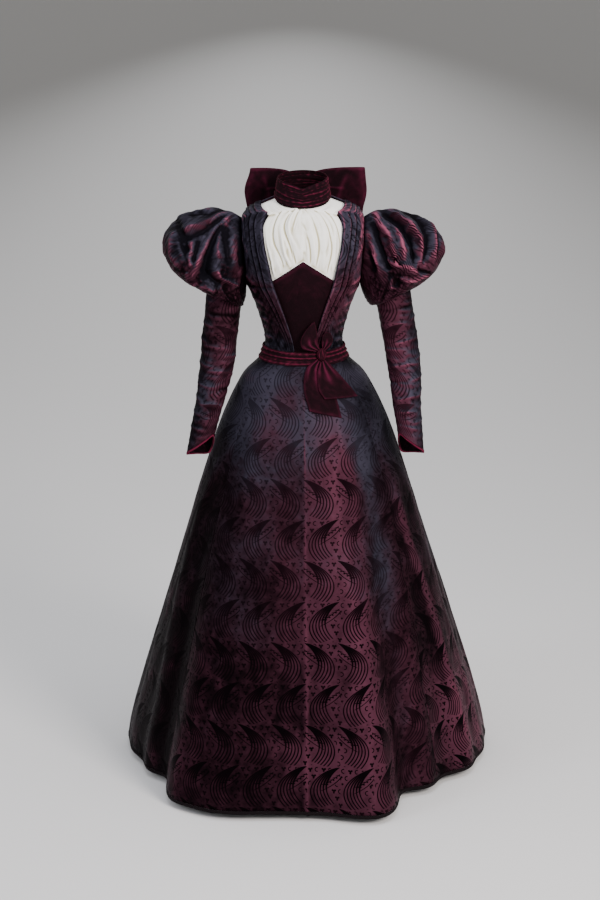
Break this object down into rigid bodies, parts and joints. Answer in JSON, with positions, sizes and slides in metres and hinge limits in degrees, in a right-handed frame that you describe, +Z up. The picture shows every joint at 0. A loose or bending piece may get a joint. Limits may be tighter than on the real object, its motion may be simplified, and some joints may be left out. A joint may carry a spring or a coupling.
{
  "type": "afternoon dress",
  "caption": "Worn, hollow afternoon dress with ballooned sleeve heads over tight sleeves, a close bodice opening on a gathered front, a stock collar and a floor-length flared skirt.",
  "frame": {"origin": "midway between the two shoulder seams at their outer ends, on the dress's middle plane, where the wearer's shoulders carry it", "axes": "+Z up, -Y the way the dress faces, +X towards the wearer's left side"},
  "size_m": [0.9168, 0.9144, 1.4546],
  "materials": {
    "silk_damask": "shot silk damask, dark wine with a slate cast, black figure",
    "velvet": "dark burgundy silk velvet",
    "cream_silk": "soft cream crepe, gathered",
    "braid": "matt black wool brush braid"
  },
  "bodies": {
    "root": {"skirt_front": "silk_damask", "skirt_side_left": "silk_damask", "skirt_side_right": "silk_damask", "skirt_back": "silk_damask", "bodice_front_left": "silk_damask", "bodice_front_right": "silk_damask", "bodice_back_left": "silk_damask", "bodice_back_right": "silk_damask", "revers_left": "silk_damask", "revers_right": "silk_damask", "sleeve_left": "silk_damask", "sleeve_right": "silk_damask", "sleeve_puff_left": "silk_damask", "sleeve_puff_right": "silk_damask", "cuff_binding_left": "velvet", "cuff_binding_right": "velvet", "neck_bow_loop_left": "velvet", "neck_bow_loop_right": "velvet", "neck_bow_knot": "velvet", "plastron": "velvet", "collar": "velvet", "sash": "velvet", "sash_loop_large": "velvet", "sash_loop_small": "velvet", "sash_end_long": "velvet", "sash_end_short": "velvet", "sash_knot": "velvet", "chemisette": "cream_silk", "hem_braid": "braid"}
  },
  "joints": []
}
